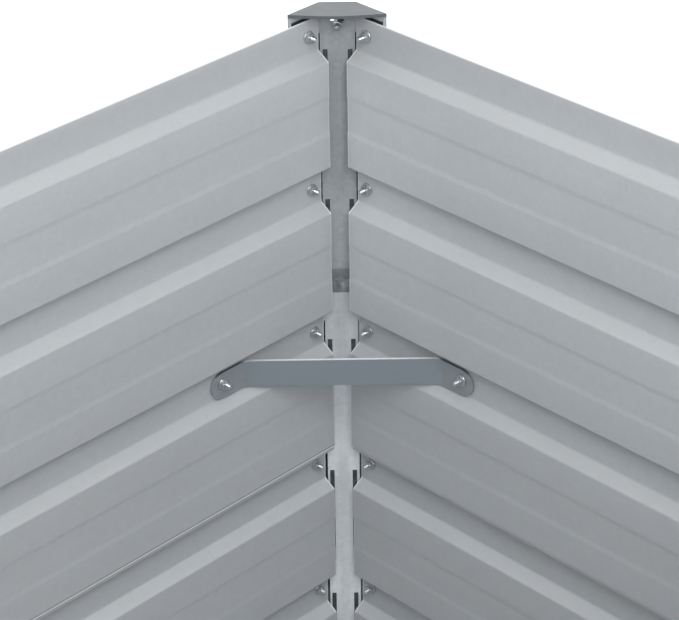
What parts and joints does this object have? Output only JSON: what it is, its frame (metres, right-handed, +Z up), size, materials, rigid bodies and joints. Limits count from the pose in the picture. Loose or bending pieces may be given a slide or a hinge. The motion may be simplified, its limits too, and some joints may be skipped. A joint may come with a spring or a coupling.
{
  "type": "raised garden bed",
  "caption": "Tall open-bottomed rectangular garden bed of ribbed galvanised steel sheets, with chamfered corner posts, corner caps and corner braces.",
  "frame": {"origin": "middle of the bed's footprint, on the ground", "axes": "+Z up, +X along the long walls; the pictured corner is front left, at -X, -Y"},
  "size_m": [1.6036, 0.8036, 0.7735],
  "materials": {
    "sheet": "galvanised, satin",
    "post": "galvanised, dull",
    "strip": "galvanised, dull",
    "cap": "galvanised, dull",
    "brace": "galvanised, dull",
    "fastener": "bright zinc"
  },
  "bodies": {
    "root": {"back_left_brace": "brace", "back_left_cap": "cap", "back_left_lower_strip": "strip", "back_left_post": "post", "back_left_upper_strip": "strip", "back_lower_sheet_left": "sheet", "back_lower_sheet_right": "sheet", "back_right_back_row_1_bolt": "fastener", "back_right_brace": "brace", "back_right_cap": "cap", "back_right_lower_strip": "strip", "back_right_post": "post", "back_right_right_row_1_bolt": "fastener", "back_right_upper_strip": "strip", "back_upper_sheet_left": "sheet", "back_upper_sheet_right": "sheet", "front_left_brace": "brace", "front_left_cap": "cap", "front_left_cap_bolt": "fastener", "front_left_cap_nut": "fastener", "front_left_front_brace_bolt": "fastener", "front_left_front_brace_nut": "fastener", "front_left_front_row_1_bolt": "fastener", "front_left_front_row_1_nut": "fastener", "front_left_front_row_2_bolt": "fastener", "front_left_front_row_2_nut": "fastener", "front_left_front_row_3_bolt": "fastener", "front_left_front_row_3_nut": "fastener", "front_left_front_row_4_bolt": "fastener", "front_left_front_row_4_nut": "fastener", "front_left_front_row_5_bolt": "fastener", "front_left_front_row_5_nut": "fastener", "front_left_left_brace_bolt": "fastener", "front_left_left_brace_nut": "fastener", "front_left_left_row_1_bolt": "fastener", "front_left_left_row_1_nut": "fastener", "front_left_left_row_2_bolt": "fastener", "front_left_left_row_2_nut": "fastener", "front_left_left_row_3_bolt": "fastener", "front_left_left_row_3_nut": "fastener", "front_left_left_row_4_bolt": "fastener", "front_left_left_row_4_nut": "fastener", "front_left_left_row_5_bolt": "fastener", "front_left_left_row_5_nut": "fastener", "front_left_lower_strip": "strip", "front_left_post": "post", "front_left_upper_strip": "strip", "front_lower_sheet_left": "sheet", "front_lower_sheet_right": "sheet", "front_right_brace": "brace", "front_right_cap": "cap", "front_right_lower_strip": "strip", "front_right_post": "post", "front_right_upper_strip": "strip", "front_upper_sheet_left": "sheet", "front_upper_sheet_right": "sheet", "left_lower_sheet": "sheet", "left_upper_sheet": "sheet", "right_lower_sheet": "sheet", "right_upper_sheet": "sheet"}
  },
  "joints": []
}
